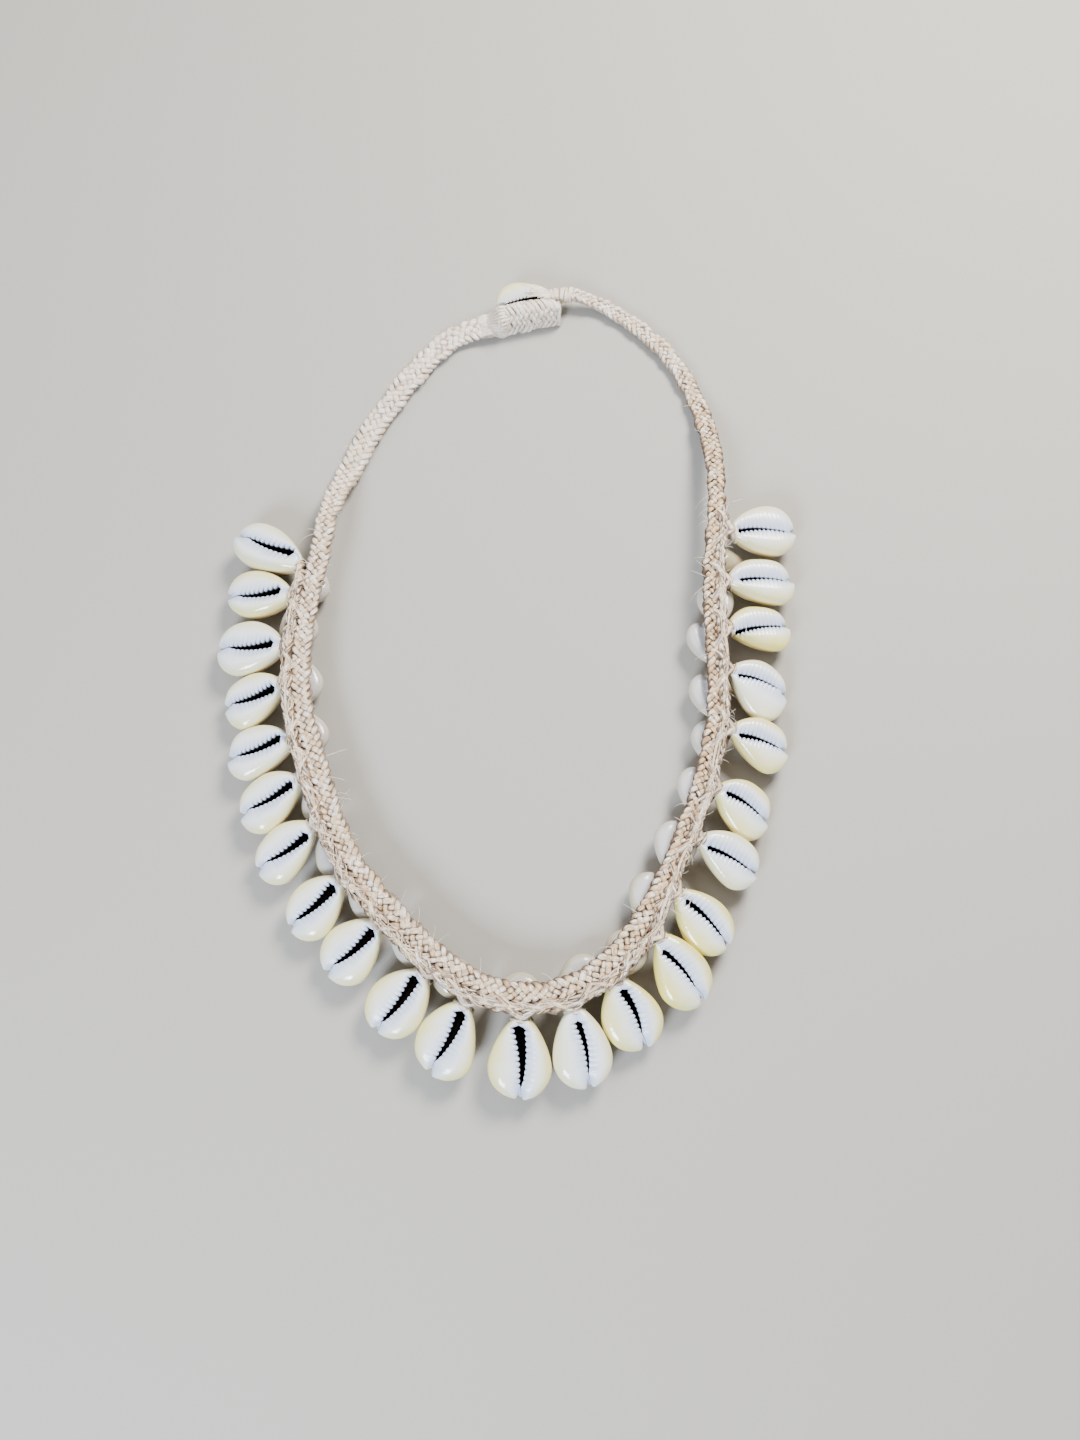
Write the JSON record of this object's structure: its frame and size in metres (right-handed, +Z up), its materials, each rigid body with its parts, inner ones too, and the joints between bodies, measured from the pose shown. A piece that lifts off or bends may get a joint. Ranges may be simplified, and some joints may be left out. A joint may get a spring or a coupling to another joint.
{
  "type": "shell lei",
  "caption": "Closed lei of cowrie shells fanned out along the front of a flat plaited fibre band, with smaller cowries beneath it and a shell buttoned into a folded loop at the back.",
  "frame": {"origin": "on the table under the middle of the lei's box", "axes": "+Z up from the table, +Y from the fan of shells at the front towards the closure at the back of the neck, +X to the right in the picture"},
  "size_m": [0.1858, 0.2749, 0.0133],
  "materials": {
    "outer_shell": "glossy",
    "under_shell": "glossy",
    "button_shell": "glossy",
    "plait": "matte plaited fibre",
    "cord": "matte wrapped fibre",
    "binding": "matte wrapped fibre"
  },
  "bodies": {
    "root": {"plaited_band": "plait", "edge_cord": "cord", "button_shell": "button_shell", "folded_loop": "plait", "end_binding": "binding", "outer_shell_01": "outer_shell", "outer_shell_02": "outer_shell", "outer_shell_03": "outer_shell", "outer_shell_04": "outer_shell", "outer_shell_05": "outer_shell", "outer_shell_06": "outer_shell", "outer_shell_07": "outer_shell", "outer_shell_08": "outer_shell", "outer_shell_09": "outer_shell", "outer_shell_10": "outer_shell", "outer_shell_11": "outer_shell", "outer_shell_12": "outer_shell", "outer_shell_13": "outer_shell", "outer_shell_14": "outer_shell", "outer_shell_15": "outer_shell", "outer_shell_16": "outer_shell", "outer_shell_17": "outer_shell", "outer_shell_18": "outer_shell", "outer_shell_19": "outer_shell", "outer_shell_20": "outer_shell", "outer_shell_21": "outer_shell", "outer_shell_22": "outer_shell", "outer_shell_23": "outer_shell", "under_shell_01": "under_shell", "under_shell_02": "under_shell", "under_shell_03": "under_shell", "under_shell_04": "under_shell", "under_shell_05": "under_shell", "under_shell_06": "under_shell", "under_shell_07": "under_shell", "under_shell_08": "under_shell", "under_shell_09": "under_shell", "under_shell_10": "under_shell", "under_shell_11": "under_shell", "under_shell_12": "under_shell", "under_shell_13": "under_shell", "under_shell_14": "under_shell", "under_shell_15": "under_shell", "under_shell_16": "under_shell", "under_shell_17": "under_shell", "under_shell_18": "under_shell", "under_shell_19": "under_shell", "under_shell_20": "under_shell"}
  },
  "joints": []
}
